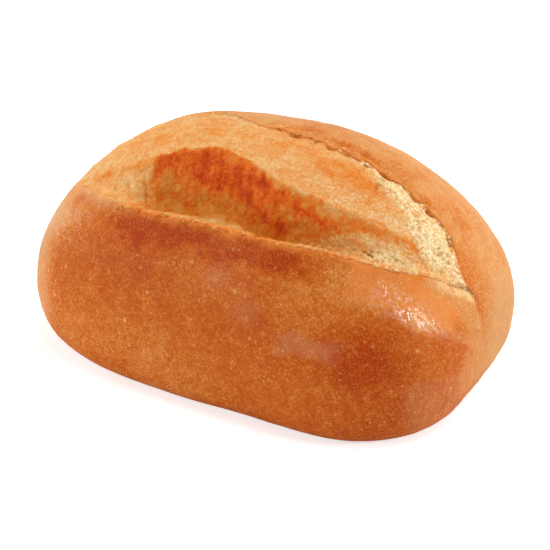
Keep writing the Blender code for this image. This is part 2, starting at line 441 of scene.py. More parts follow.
def makeCrust(settings):
    crust = copyRoll("bakedCrust")
    evenOut(crust, settings)
    at = mapRoll(crust)
    easeStep(crust, at, easeSettings)
    roughen(crust, at, settings)
    pushSkin(crust, "sink", insideTear(at), -settings["sink"])
    crack = strip(at, settings["crackStations"], settings["crackAngles"], settings["crackHalf"])
    pushSkin(crust, "crack", crack, -settings["crackDepth"])
    # the split is also painted dark brown, as painted shade in the thin crack
    saveAttribute(crust, "crack", crack)
    saveAttribute(crust, "bake", bakeOfCrust(at, crustBake))
    saveAttribute(crust, "glaze", glazeOfCrust(at))
    saveAttribute(crust, "fade", fadeOfCrust(at))
    saveAttribute(crust, "wedge", wedgeOfCrust(at, settings))
    saveAttribute(crust, "paintedReflection", paintedReflectionOfCrust(at))
    saveAttribute(crust, "rimAndPaintedLight", rimAndPaintedLightOfCrust(at))
    # where the front lip is crumbly: its pits are dented and also painted dark, as painted shade
    crumbly = bell(at.angle - at.raggedFront + 1.6, 2.4) * between(-0.52, 0.02, 0.05, at.station)
    saveAttribute(crust, "crumbly", crumbly)
    return crust


crustBake = {  # from 0, palest, to 1, darkest; a spot is an amount, station, angle, length and height
    "front": 0.45,
    "frontUneven": {"broad": 0.08},
    "frontSpots": (
        (0.06, 0.10, -62.0, 0.30, 14.0),
        (0.18, -0.42, -57.0, 0.22, 11.0),
        (0.08, 0.25, -72.0, 0.20, 8.0),
        (0.14, 0.60, -98.0, 0.25, 9.0),
        (-0.12, 0.47, -52.0, 0.16, 9.0),
        (0.16, 0.82, -84.0, 0.13, 16.0),
    ),
    "underLip": 0.42,  # the browned band below the front lip
    "underLipUneven": {"patch": 0.25, "fine": 0.20},
    "besideShoulder": ((0.38, 0.70, -72.0, 0.14, 11.0),),
    "slimFoot": 0.10,
    "shoulder": 0.27,
    "shoulderZone": ((0.56, 0.90, 0.06), (-52.5, -38.0, 4.0)),
    "tip": 0.06,
    "tipZone": ((0.86, 1.10, 0.08), (-54.0, -15.0, 4.0)),
    "lowEnd": 0.46,
    "lowEndZone": ((0.90, 0.99, 0.02), (-95.0, -58.0, 8.0)),
    "endSpots": ((0.26, 0.955, -46.0, 0.03, 12.0),),
    "fullRim": 0.10,
    "slimRim": 0.07,
    "slimSpots": ((-0.20, -0.74, -44.0, 0.12, 7.0),),
    "back": 0.09,
    "backUneven": {"broad": 0.06, "patch": 0.09, "fine": 0.06},
    "backSpots": (
        (0.20, 0.11, 5.0, 0.06, 3.0),
        (0.14, 0.20, 13.0, 0.07, 8.0),
        (0.28, 0.38, 3.5, 0.08, 2.5),
        (0.16, 0.52, 6.0, 0.06, 5.0),
        (0.10, 0.80, 18.0, 0.10, 12.0),
    ),
    "alongBackLip": 0.20,
}


def bakeOfCrust(at, settings):
    wander = 2.0 * at.patch
    underLip = blendStep(-54.0, -47.5, at.angle + 3.0 * at.patch) * blendStep(-41.5, -44.5, at.angle)
    underLip = underLip * between(-0.44, 0.37, 0.12, at.station + 0.05 * at.patch)
    shoulder = zone(at, *settings["shoulderZone"], wander)
    tip = zone(at, *settings["tipZone"], wander)
    lowEnd = zone(at, *settings["lowEndZone"])
    fullRim = blendStep(0.98, 1.0, at.station)
    slimRim = blendStep(-0.73, -0.86, at.station - 0.0012 * (at.angle + 60.0))
    bake = settings["front"] + uneven(at, settings["frontUneven"]) + spots(at, settings["frontSpots"])
    bake += underLip * (settings["underLip"] + uneven(at, settings["underLipUneven"]))
    bake += spots(at, settings["besideShoulder"]) * blendStep(-54.0, -58.0, at.angle + wander)
    bake -= settings["slimFoot"] * blendStep(-72.0, -92.0, at.angle) * blendStep(0.20, -0.20, at.station)
    bake = toward(bake, settings["shoulder"], 0.9 * shoulder)
    bake = toward(bake, settings["tip"], 0.85 * tip)
    bake = toward(bake, settings["lowEnd"], 0.85 * lowEnd) + spots(at, settings["endSpots"])
    bake = toward(bake, settings["fullRim"], 0.8 * fullRim)
    bake = toward(bake, settings["slimRim"], 0.9 * slimRim) + spots(at, settings["slimSpots"])

    alongLip = bell(at.angle - at.backLip - 1.2, 1.6) * between(0.20, 0.84, 0.06, at.station)
    back = settings["back"] + uneven(at, settings["backUneven"]) + spots(at, settings["backSpots"])
    back += settings["alongBackLip"] * alongLip * blendStep(-0.5, 0.4, at.patch)
    back = toward(back, 0.0, blendStep(0.90, 0.96, at.station))
    overEnd = blendStep(0.80, 0.95, np.abs(at.station))  # the front's brown fades out slowly round the ends
    depth = at.depth + (1.5 + 1.5 * overEnd) * millimetre * at.patch
    backShare = blendStep((-5.0 - 2.0 * overEnd) * millimetre, (1.0 + 7.0 * overEnd) * millimetre, depth)
    return toward(bake, back, backShare)


def fadeOfCrust(at):  # the crust fades into the crumb at the slimmer end of the tear
    return 0.75 * bell(at.angle - at.raggedFront, 3.6) * blendStep(-0.40, -0.60, at.station)


def wedgeOfCrust(at, settings):  # the pale skin past the fuller end narrows to a point beside the split
    crackLine = np.interp(at.station, settings["crackStations"], settings["crackAngles"])
    paleLine = np.interp(at.station, settings["paleStations"], settings["paleAngles"]) + 1.5 * at.fine
    wedge = blendStep(-5.5, 0.8, at.angle - paleLine) * blendStep(0.8, -0.8, at.angle - crackLine)
    wedge = wedge * opening((0.80, 0.89), (0.945, 0.96), at.station)
    return wedge * np.clip(0.85 + uneven(at, {"fine": 0.8, "tiny": 0.5}), 0.0, 1.0)


def paintedReflectionOfCrust(at):  # painted reflection: paler, pinkish patches on the browned front, the low fuller end and round the slimmer end, standing for windows and bright surroundings seen in the crust
    wander = 0.05 * at.patch
    paintedReflection = between(0.42, 0.58, 0.07, at.station + wander)
    paintedReflection = paintedReflection * between(-73.0, -69.0, 3.5, at.angle + 40.0 * wander)
    paintedReflection = paintedReflection + spots(at, ((0.8, 0.05, -56.0, 0.07, 3.5), (0.8, 0.20, -65.0, 0.06, 4.0)))
    paintedReflection = paintedReflection + 0.7 * between(0.90, 0.97, 0.05, at.station) * blendStep(-74.0, -84.0, at.angle)
    return paintedReflection + blendStep(-0.78, -0.88, at.station)


def rimAndPaintedLightOfCrust(at):  # the front lip's edge and the shoulder are their own brighter orange; the same orange along the back lip is painted light, lifting the shade in the step below it
    front = bell(at.angle - at.raggedFront + 0.4, 1.7) * between(-0.45, 0.80, 0.10, at.station)
    front = front * np.clip(0.85 + 0.8 * at.fine, 0.0, 1.0)
    back = bell(at.angle - at.raggedBack + 0.4, 1.1) * between(-0.10, 0.90, 0.05, at.station)
    shoulder = zone(at, (0.60, 0.93, 0.03), (-50.0, -36.0, 3.0), 2.0 * at.patch)
    return front + back + shoulder * (0.75 + 0.3 * at.fine)


def glazeOfCrust(at):  # the shoulder at the fuller end is the shiniest
    glaze = strip(at, (0.76, 0.83, 0.87, 0.96), (-49.5, -51.0, -51.6, -52.2), 3.2)
    return glaze + spots(at, ((0.9, 0.75, -47.5, 0.10, 5.0), (0.5, -0.80, -48.0, 0.16, 12.0)))


crust = makeCrust(crustSettings)
print("crust made:", countOf(crust))


# the crumb is what the tear lays open, from the front lip over the face and the crown to the back lip

crumbSettings = {
    "smoothings": 2,
    "faceSize": 0.31 * millimetre,
    "calmings": 7,
    "margin": 8.0,  # degrees that it reaches below the crust at both lips
    "reach": 0.965,  # the stations where it ends, at both ends of the roll
    "drop": 6.0 * millimetre,  # the underside, inside the roll
    "tuck": 1.5 * millimetre,  # how far the margin lies below the crust
    "lumps": 0.9 * millimetre,
    "lumpsSize": 3.8 * millimetre,
    "footFill": 0.5 * millimetre,
    "backFill": 0.45 * millimetre,
    "faceLumps": 1.5 * millimetre,
    "faceLumpsSize": 2.8 * millimetre,
    "faceGrain": 0.5 * millimetre,
    "faceGrainSize": 1.0 * millimetre,
    "ridgeRough": 1.2 * millimetre,
    "ridgeRoughSize": 1.8 * millimetre,
    "grain": 0.40 * millimetre,
    "grainSize": 1.1 * millimetre,
    "valleyRise": 0.3 * millimetre,
    "valleyLumps": 0.6 * millimetre,
    "valleyLumpsSize": 2.2 * millimetre,
    "pebbles": -0.40 * millimetre,
    "pebblesSize": 1.1 * millimetre,
    "caves": -0.9 * millimetre,
    "pores": -0.9 * millimetre,
    "creases": -0.25 * millimetre,
}

caves = (  # small hollows under the back lip: station, degrees below the lip, length, height, depth
    (0.10, 2.0, 0.024, 1.0, 1.0),
    (0.20, 1.9, 0.012, 0.7, 0.5),
    (0.265, 2.1, 0.016, 0.9, 1.0),
    (0.35, 2.1, 0.040, 0.9, 0.5),
    (0.43, 2.1, 0.018, 0.7, 0.6),
    (0.515, 1.9, 0.022, 1.0, 1.0),
    (0.645, 2.0, 0.020, 1.1, 0.9),
    (0.705, 2.1, 0.024, 1.0, 1.0),
    (0.765, 2.2, 0.014, 1.0, 0.6),
    (0.82, 2.4, 0.022, 1.2, 0.8),
)

poreSpots = (  # where the open crumb has holes: station, angle, length, height
    (0.60, -34.6, 0.10, 2.4),
    (0.53, -9.0, 0.05, 2.2),
    (0.72, -33.0, 0.06, 2.0),
    (0.83, -14.0, 0.03, 3.0),
)

creaseLines = (  # folds at the slimmer end of the face: depth, stations, angles, half width
    (1.0, (-0.505, -0.470), (-30.0, -35.6), 1.3),
    (1.0, (-0.45, -0.425, -0.390), (-25.0, -29.6, -37.0), 1.1),
    (0.5, (-0.69, -0.62, -0.54), (-32.6, -34.6, -35.6), 0.7),
)

footSettings = {  # the crumbly ledge between the front lip and the face: its top, in degrees above the lip
    "stations": (-0.42, -0.30, -0.15, -0.05, 0.05, 0.16),
    "top": (0.9, 1.6, 4.4, 6.8, 5.0, 0.5),
}

lobeSettings = {  # the browned crown narrows to a tongue at the fuller end, with fresh crumb round it
    "upperStations": (0.10, 0.30, 0.45, 0.55, 0.65, 0.73, 0.78),
    "upperAngles": (1.5, -1.0, -4.0, -7.5, -12.5, -18.0, -23.0),
    "lowerStations": (0.20, 0.35, 0.45, 0.55, 0.68, 0.78),
    "lowerAngles": (-42.0, -34.5, -31.0, -28.5, -25.5, -23.0),
    "wander": {"patch": 2.2, "fine": 1.4},
}


def openPatch(settings):  # the faces between the lips, and a margin outside each
    patch = copyRoll("tornCrumb")
    evenOut(patch, settings)
    places = np.array([placeOf(face.center) for face in patch.data.polygons])
    station, angle = places[:, 0], places[:, 1]
    kept = (angle > lipAngle("frontLip", station) - settings["margin"])
    kept &= (angle < lipAngle("backLip", station) + settings["margin"])
    kept &= np.abs(station) < settings["reach"]
    pickOnly(patch)
    bpy.ops.object.mode_set(mode="EDIT")
    bpy.ops.mesh.select_mode(type="FACE")
    bpy.ops.mesh.select_all(action="DESELECT")
    bpy.ops.object.mode_set(mode="OBJECT")
    for face, keep in zip(patch.data.polygons, kept):
        face.select = not keep
    bpy.ops.object.mode_set(mode="EDIT")
    bpy.ops.mesh.delete(type="FACE")
    bpy.ops.object.mode_set(mode="OBJECT")
    return patch


def closeUnderside(patch, drop):
    pickOnly(patch)
    bpy.ops.object.mode_set(mode="EDIT")
    bpy.ops.mesh.select_mode(type="EDGE")
    bpy.ops.mesh.select_all(action="DESELECT")
    bpy.ops.mesh.select_non_manifold()
    bpy.ops.mesh.extrude_edges_move(TRANSFORM_OT_translate={"value": (0.0, 0.0, -drop)})
    bpy.ops.mesh.edge_face_add()
    bpy.ops.mesh.select_all(action="SELECT")
    bpy.ops.mesh.normals_make_consistent(inside=False)
    bpy.ops.object.mode_set(mode="OBJECT")


def valleyOf(at, settings):  # the fresh crumb on both sides of the tongue
    upper = np.interp(at.station, settings["upperStations"], settings["upperAngles"])
    lower = np.interp(at.station, settings["lowerStations"], settings["lowerAngles"])
    wander = uneven(at, settings["wander"])
    above = blendStep(-1.8, 2.0, at.angle - upper + wander) * blendStep(0.14, 0.45, at.station)
    below = blendStep(1.4, -1.8, at.angle - lower + wander) * blendStep(0.22, 0.46, at.station)
    return np.maximum(above, below * (0.35 + 0.65 * spot(at, 0.70, -34.0, 0.09, 5.0)))


def footOf(at, settings):
    top = np.interp(at.station, settings["stations"], settings["top"])
    foot = blendStep(1.3, 0.6, (at.angle - at.frontLip + 0.5 * at.patch) / top)
    return foot * between(-0.42, 0.12, 0.05, at.station) * blendStep(-1.6, 0.2, at.fromFront)


def caveField(at):
    field = np.zeros(len(at.station))
    for station, below, length, height, depth in caves:
        along = at.station - station + 0.012 * at.fine
        across = at.angle - at.backLip + below + 0.5 * at.patch
        field = np.maximum(field, depth * bell(along, length) * bell(across, height))
    return field


def poreField(at):
    field = np.zeros(len(at.station))
    for place in poreSpots:
        field = np.maximum(field, spot(at, *place))
    return field * blendStep(-0.12, -0.42, at.tiny)


def mapCrumb(crumb):  # the crumb's own masks, beside those of the tear
    at = mapRoll(crumb)
    easeStep(crumb, at, easeSettings)
    at.fromFront, at.fromBack = at.angle - at.raggedFront, at.raggedBack - at.angle
    at.valley = valleyOf(at, lobeSettings)
    shown = blendStep(-1.7 - 2.0 * at.slimEnd, -0.6, at.fromFront) * blendStep(-1.8, -0.5, at.fromBack)
    at.shown = shown * at.tearLength
    at.foot = footOf(at, footSettings)
    at.cave, at.pore = caveField(at), poreField(at)
    at.crease = sum(depth * strip(at, *line) for depth, *line in creaseLines)
    return at


def makeCrumb(settings):
    crumb = openPatch(settings)
    at = mapCrumb(crumb)
    rough = at.shown * blendStep(0.0, 1.8, at.fromFront) * blendStep(0.2, 2.2, at.fromBack)
    rough = rough * (1.0 - 0.7 * at.foot)
    ledge = at.foot * blendStep(-0.5, 0.8, at.angle - at.frontLip) * blendStep(0.0, 1.2, at.fromFront)
    face = at.faceOpen * blendStep(0.0, 0.12, at.faceShare) * blendStep(1.0, 0.9, at.faceShare)
    ridgeEdge = bell(at.angle - at.ridge + 0.8, 2.0) * between(-0.60, 0.60, 0.1, at.station)
    clearOfLip = blendStep(0.5, 4.0, at.backLip - at.angle)
    reliefs = (  # name, where, and the depth of its cloud texture, or 0 for a plain rise
        ("lumps", rough, 2),
        ("footFill", ledge, 0),
        ("backFill", at.trough * insideTear(at), 0),
        ("faceLumps", face, 2),
        ("faceGrain", face, 1),
        ("ridgeRough", ridgeEdge, 2),
        ("grain", rough, 1),
        ("valleyRise", at.valley * clearOfLip * at.shown, 0),
        ("valleyLumps", at.valley * rough, 1),
    )
    hollows = (
        ("caves", at.cave * at.shown),
        ("pores", at.pore),
        ("creases", at.crease),
    )
    roughen(crumb, at, crustSettings)
    for name, weights, depth in reliefs:
        texture = cloudTexture(name, settings[name + "Size"], depth) if depth else None
        pushSkin(crumb, name, weights, settings[name], texture)
    pebbles = pebbleTexture("pebbles", settings["pebblesSize"])
    pushSkin(crumb, "pebbles", at.valley * rough, settings["pebbles"], pebbles)
    for name, weights in hollows:
        pushSkin(crumb, name, weights, settings[name])
    pushSkin(crumb, "tuck", 1.0 - at.shown, -settings["tuck"])
    saveAttribute(crumb, "bake", bakeOfCrumb(at, crumbBake))
    saveAttribute(crumb, "fresh", at.valley * (1.0 - 0.45 * spot(at, 0.64, -34.0, 0.12, 5.0)))
    # painted shade: the caves, the pores and, more weakly, the folds are painted darker brown
    saveAttribute(crumb, "hollow", np.maximum(np.maximum(at.cave, 0.8 * at.pore), 0.2 * at.crease))
    saveAttribute(crumb, "gloss", glossOfCrumb(at))
    saveAttribute(crumb, "shade", shadeOfCrumb(at))
    closeUnderside(crumb, settings["drop"])
    return crumb


crumbBake = {  # from 0, palest, to 1, darkest; spots as for the crust, streaks with stations and angles
    "crown": 0.27,
    "crownUneven": {"streak": 0.04, "broad": 0.06, "patch": 0.05},
    "crownSpots": (
        (0.08, -0.48, -9.0, 0.10, 6.0),
        (0.06, 0.20, -15.0, 0.14, 6.0),
        (0.10, -0.22, -7.0, 0.14, 5.0),
        (0.14, 0.14, -7.0, 0.15, 5.0),
        (0.07, 0.39, -18.0, 0.08, 5.0),
        (0.24, 0.39, -10.5, 0.10, 4.5),
        (0.16, 0.51, -13.0, 0.06, 4.0),
    ),
    "crownStreaks": (
        (0.22, (0.48, 0.56, 0.64, 0.72, 0.78), (-26.5, -26.5, -24.5, -22.5, -21.5), 1.5),
        (0.18, (-0.66, -0.60, -0.51, -0.40), (-26.0, -25.0, -22.6, -21.4), 1.6),
    ),
    "slimCrown": 0.06,
    "face": 0.53,
    "faceTop": 0.16,
    "faceUneven": {"patch": 0.14, "fine": 0.10, "drip": 0.16},
    "faceStreaks": (
        (0.22, (-0.38, -0.25, -0.12, 0.02), (-21.5, -20.5, -20.0, -22.5), 1.6),
        (0.26, (-0.22, 0.0, 0.12, 0.24), (-23.0, -25.2, -30.5, -34.5), 2.0),
        (0.22, (0.05, 0.18, 0.30, 0.46), (-22.5, -25.5, -28.0, -30.0), 1.6),
    ),
    "facePalest": 0.46,
    "facePaleSpots": ((-0.16, 0.34, -31.0, 0.10, 3.0),),
    "foot": 0.26,
    "footUneven": {"fine": 0.1},
    "footSpots": ((-0.12, -0.075, -37.5, 0.07, 3.0),),
    "faceSpots": ((0.22, 0.40, -32.5, 0.16, 2.5), (0.12, 0.12, -35.5, 0.10, 2.5)),
    "valley": 0.06,
    "valleyUneven": {"patch": 0.08, "tiny": 0.07},
    "endSpots": (
        (0.14, 0.68, -9.0, 0.05, 2.5),
        (0.16, 0.74, -25.0, 0.05, 3.0),
        (0.09, -0.69, -29.0, 0.08, 5.0),
    ),
    "underValley": ((0.12, 0.40, -37.5, 0.12, 2.5),),
    "slimLip": 0.40,
    "backCut": 0.52,
    # painted shade behind the front lip
    "frontEdgeShade": 0.46,
    "corner": 0.32,
    # painted shade in the folds
    "crease": 0.52,
}

corner = (-0.435, -32.6, 0.035, 3.4)  # where the face begins at the slimmer end, as spot takes it


def streaksOf(at, streaks):
    return sum(amount * strip(at, *line) for amount, *line in streaks)


def bakeOfFace(at, settings):
    top = blendStep(0.35, 0.80, at.faceShare + 0.16 * at.drip + 0.10 * at.fine)
    face = settings["face"] + settings["faceTop"] * top + uneven(at, settings["faceUneven"])
    face = np.maximum(face + streaksOf(at, settings["faceStreaks"]), settings["facePalest"])
    face += spots(at, settings["facePaleSpots"])
    foot = settings["foot"] + spots(at, settings["footSpots"]) + uneven(at, settings["footUneven"])
    return toward(face, foot, 0.95 * at.foot) + spots(at, settings["faceSpots"])


def bakeOfCrumb(at, settings):
    bake = settings["crown"] + uneven(at, settings["crownUneven"])
    bake = bake + spots(at, settings["crownSpots"]) + streaksOf(at, settings["crownStreaks"])
    bake -= settings["slimCrown"] * blendStep(-0.55, -0.80, at.station)
    fullPart = blendStep(0.0, 0.28, at.station)  # towards the fuller end the ridge is softer and more uneven
    fromRidge = at.angle - at.ridge + (0.9 + 1.2 * fullPart) * at.fine + 2.4 * fullPart * at.patch
    topEdge = blendStep(0.4 + 0.9 * fullPart, -0.5 - 2.4 * fullPart, fromRidge)
    bake = toward(bake, bakeOfFace(at, settings), at.faceOpen * topEdge)
    bake = toward(bake, settings["valley"] + uneven(at, settings["valleyUneven"]), 0.9 * at.valley)
    bake += spots(at, settings["endSpots"])
    bake += spots(at, settings["underValley"]) * blendStep(0.20, 0.35, at.station)
    bake = toward(bake, settings["slimLip"], 0.6 * at.slimEnd * bell(at.angle - at.frontLip, 2.4))
    backCut = bell(at.angle - at.raggedBack, 0.6) * between(0.0, 0.86, 0.08, at.station)
    bake = toward(bake, settings["backCut"] + 0.1 * at.fine, 0.7 * backCut)
    # painted shade: the crumb's margin behind the front lip is painted a warmer brown, standing for the warm
    # shade in the crevice
    frontEdgeShade = blendStep(2.4, 0.8, at.fromFront) * between(-0.45, 0.80, 0.1, at.station)
    bake = toward(bake, settings["frontEdgeShade"] + 0.15 * at.tiny, 0.8 * frontEdgeShade)
    bake = toward(bake, settings["corner"], spot(at, *corner))
    # painted shade: the folds are painted browner
    return toward(bake, settings["crease"], 0.5 * np.clip(at.crease, 0.0, 1.0))


def shadeOfCrumb(at):  # painted shade: the lower part of the face and its slimmer corner are darkened and turned more olive
    low = blendStep(0.80, 0.45, at.faceShare + 0.12 * at.patch) * at.faceOpen
    low = low * blendStep(-0.42, -0.32, at.station) * blendStep(0.2, 1.6, at.fromFront)
    low = low * (1.0 - 0.5 * at.foot)
    return low + 0.5 * spot(at, *corner)


# where the crumb shines: this sets its coat and also places pale grains painted as glints
def glossOfCrumb(at):
    gloss = spots(at, ((0.9, 0.65, -19.5, 0.13, 5.0), (0.6, 0.41, -20.0, 0.10, 4.0)))
    gloss = gloss + 0.5 * at.valley + 0.15 * between(-0.1, 0.3, 0.1, at.station) * (at.angle > at.ridge)
    return gloss * blendStep(-1.0, 2.0, at.angle - at.ridge)


crumb = makeCrumb(crumbSettings)
print("crumb made:", countOf(crumb))


# finishes

def addNode(tree, kind, sockets=None, **settings):
    made = tree.nodes.new(kind)
    for name, value in settings.items():
        setattr(made, name, value)
    for name, value in (sockets or {}).items():
        if isinstance(value, bpy.types.NodeSocket):
            tree.links.new(value, made.inputs[name])
        else:
            made.inputs[name].default_value = value
    return made


def maths(tree, operation, first, second, third=None):
    sockets = {0: first, 1: second}
    if third is not None:
        sockets[2] = third
    return addNode(tree, "ShaderNodeMath", sockets, operation=operation).outputs[0]


def remap(tree, value, fromLow, fromHigh, toLow=0.0, toHigh=1.0):
    sockets = {"Value": value, "From Min": fromLow, "From Max": fromHigh, "To Min": toLow, "To Max": toHigh}
    return addNode(tree, "ShaderNodeMapRange", sockets, interpolation_type="SMOOTHSTEP").outputs["Result"]


def mixColours(tree, share, first, second, kind="MIX"):
    return addNode(
        tree, "ShaderNodeMix", {0: share, 6: first, 7: second}, data_type="RGBA", blend_type=kind
    ).outputs[2]


def mixLevels(tree, share, first, second):
    return addNode(tree, "ShaderNodeMix", {0: share, 2: first, 3: second}).outputs[0]


def noiseTexture(tree, coords, size, detail, roughness=0.5):
    sockets = {"Vector": coords, "Scale": 1.0 / size, "Detail": detail, "Roughness": roughness}
    return addNode(tree, "ShaderNodeTexNoise", sockets).outputs["Fac"]


def colourRamp(tree, value, stops):
    ramp = addNode(tree, "ShaderNodeValToRGB", {0: value})
    elements = ramp.color_ramp.elements
    while len(elements) < len(stops):
        elements.new(0.5)
    for element, (place, colour) in zip(elements, stops):
        element.position = place
        element.color = (*colour, 1.0)
    return ramp.outputs["Color"]


def newMaterial(name):
    material = bpy.data.materials.new(name)
    material.use_nodes = True
    return material, material.node_tree, material.node_tree.nodes["Principled BSDF"]


def setSockets(shader, values):
    for name, value in values.items():
        shader.inputs[name].default_value = value


def readAttribute(tree, name, share=1.0):
    level = addNode(tree, "ShaderNodeAttribute", attribute_name=name).outputs["Fac"]
    return level if share == 1.0 else maths(tree, "MULTIPLY", level, share)


def tinted(tree, colour, name, share, tint):
    return mixColours(tree, readAttribute(tree, name, share), colour, tint)


def addUneven(tree, coords, level, noises):  # the level with noises added: size, detail, roughness, spread
    low, high = 0.28, 0.72  # nearly all of a noise lies between these
    for size, detail, roughness, spread in noises:
        fac = noiseTexture(tree, coords, size, detail, roughness)
        level = maths(tree, "ADD", level, remap(tree, fac, low, high, -spread, spread))
    return level


def dots(tree, coords, size, least, most, share, edge):  # round dots of uneven size, some left out
    cells = addNode(tree, "ShaderNodeTexVoronoi", {"Vector": coords, "Scale": 1.0 / size, "Randomness": 1.0})
    chance = addNode(tree, "ShaderNodeSeparateColor", {"Color": cells.outputs["Color"]})
    radius = maths(tree, "MULTIPLY_ADD", chance.outputs["Red"], most - least, least)
    inside = maths(tree, "SUBTRACT", radius, cells.outputs["Distance"])
    dot = remap(tree, inside, -edge / 2, edge)
    shown = maths(tree, "LESS_THAN", chance.outputs["Green"], share)
    return maths(tree, "MULTIPLY", dot, shown)


def largest(tree, values):
    result = values[0]
    for value in values[1:]:
        result = maths(tree, "MAXIMUM", result, value)
    return result


def addBump(tree, height, strength, distance):
    sockets = {"Height": height, "Strength": strength, "Distance": distance}
    return addNode(tree, "ShaderNodeBump", sockets).outputs["Normal"]


crustFinish = {
    "stops": (
        (0.00, (0.70, 0.330, 0.110)),
        (0.25, (0.66, 0.205, 0.040)),
        (0.45, (0.56, 0.129, 0.015)),
        (0.70, (0.49, 0.080, 0.009)),
        (1.00, (0.40, 0.046, 0.006)),
    ),
    "uneven": (  # size, detail, roughness, spread
        (3.2 * millimetre, 3.0, 0.6, 0.12),
        (1.1 * millimetre, 2.0, 0.6, 0.10),
        (0.45 * millimetre, 1.0, 0.6, 0.22),
    ),
    "unevenLeast": 0.36,  # how far the palest crust follows them, and how much more the darkest does
    "unevenMore": 0.75,
    "bigBlisters": (2.6 * millimetre, 0.06, 0.20, 0.6, 0.12),  # size, least, most, share, edge
    "blisters": (1.3 * millimetre, 0.06, 0.28, 0.6, 0.2),
    "smallBlisters": (0.6 * millimetre, 0.10, 0.42, 0.9, 0.3),
    "smallShare": 0.75,
    "blisterPatches": 6.0 * millimetre,
    "blisterPaleness": 0.55,
    "blisterFading": -0.35,  # on dark crust they are less pale
    "underBlisters": (  # tints: attribute, share, colour
        # bright orange at the lips' edges and the shoulder; along the back lip it is painted light that
        # lifts the shade in the step
        ("rimAndPaintedLight", 0.75, (0.80, 0.24, 0.045, 1.0)),
        ("fade", 1.0, (0.77, 0.40, 0.16, 1.0)),
        ("wedge", 0.85, (0.87, 0.60, 0.28, 1.0)),
    ),
    "blister": (1.0, 0.62, 0.24, 1.0),
    # painted reflection: a pale pinkish veil over the crust
    "paintedReflection": ("paintedReflection", 0.13, (0.72, 0.42, 0.30, 1.0)),
    "crack": ("crack", 0.8, (0.40, 0.11, 0.02, 1.0)),
    "pit": (0.42, 0.085, 0.008, 1.0),
    "pitShare": 0.75,
    "pitSize": 1.0 * millimetre,
    "grainSize": 0.5 * millimetre,
    "grain": 0.9,
    "bump": 0.6,
    "bumpHeight": 0.11 * millimetre,
    "glazeWrinkleSize": 0.9 * millimetre,
    "glazeWrinkles": 1.1,
    "glazeBump": 0.8,
    "glazeBumpHeight": 0.22 * millimetre,
    "glintSize": 1.0 * millimetre,
    "shineLeast": 0.10,
    "shineMore": 0.85,
    "shineAllOver": 0.01,
    "sockets": {"Roughness": 0.42, "Specular IOR Level": 0.03, "Coat Roughness": 0.10, "Coat IOR": 1.8},
}


def crustColour(tree, coords, blisters, pits, settings):
    bake = readAttribute(tree, "bake")
    mottling = addUneven(tree, coords, 0.0, settings["uneven"])
    follow = maths(tree, "MULTIPLY_ADD", bake, settings["unevenMore"], settings["unevenLeast"])
    level = maths(tree, "MULTIPLY_ADD", mottling, follow, bake)
    colour = colourRamp(tree, level, settings["stops"])
    for tint in settings["underBlisters"]:
        colour = tinted(tree, colour, *tint)
    patches = remap(tree, noiseTexture(tree, coords, settings["blisterPatches"], 2.0), 0.35, 0.65, 0.45, 1.0)
    paleness = maths(tree, "MULTIPLY_ADD", bake, settings["blisterFading"], settings["blisterPaleness"])
    pale = maths(tree, "MULTIPLY", blisters, maths(tree, "MULTIPLY", patches, paleness))
    colour = mixColours(tree, pale, colour, settings["blister"])
    # painted reflection, mixed in as a pale pinkish veil
    colour = tinted(tree, colour, *settings["paintedReflection"])
    # painted shade in the pits along the crumbly front lip
    colour = mixColours(tree, pits, colour, settings["pit"])
    # painted shade along the thin split
    return tinted(tree, colour, *settings["crack"])


def makeCrustFinish(settings):
    material, tree, shader = newMaterial("brownedCrust")
    coords = addNode(tree, "ShaderNodeTexCoord").outputs["Object"]
    small = maths(tree, "MULTIPLY", dots(tree, coords, *settings["smallBlisters"]), settings["smallShare"])
    big, middling = (dots(tree, coords, *settings[name]) for name in ("bigBlisters", "blisters"))
    blisters = largest(tree, (big, middling, small))
    pits = remap(tree, noiseTexture(tree, coords, settings["pitSize"], 2.0), 0.50, 0.40)
    pits = maths(tree, "MULTIPLY", pits, readAttribute(tree, "crumbly", settings["pitShare"]))
    colour = crustColour(tree, coords, blisters, pits, settings)
    tree.links.new(colour, shader.inputs["Base Color"])

    grain = noiseTexture(tree, coords, settings["grainSize"], 2.0, 0.6)
    height = maths(tree, "MULTIPLY_ADD", grain, settings["grain"], maths(tree, "SUBTRACT", blisters, pits))
    bumped = addBump(tree, height, settings["bump"], settings["bumpHeight"])
    tree.links.new(bumped, shader.inputs["Normal"])
    wrinkles = noiseTexture(tree, coords, settings["glazeWrinkleSize"], 2.0, 0.6)
    wrinkled = maths(tree, "MULTIPLY_ADD", wrinkles, settings["glazeWrinkles"], blisters)
    glazed = addBump(tree, wrinkled, settings["glazeBump"], settings["glazeBumpHeight"])
    tree.links.new(glazed, shader.inputs["Coat Normal"])
    glints = remap(tree, noiseTexture(tree, coords, settings["glintSize"], 1.0), 0.42, 0.60)
    shine = maths(tree, "MULTIPLY_ADD", glints, settings["shineMore"], settings["shineLeast"])
    shine = maths(tree, "MULTIPLY", readAttribute(tree, "glaze"), shine)
    tree.links.new(maths(tree, "ADD", shine, settings["shineAllOver"]), shader.inputs["Coat Weight"])
    setSockets(shader, settings["sockets"])
    return material


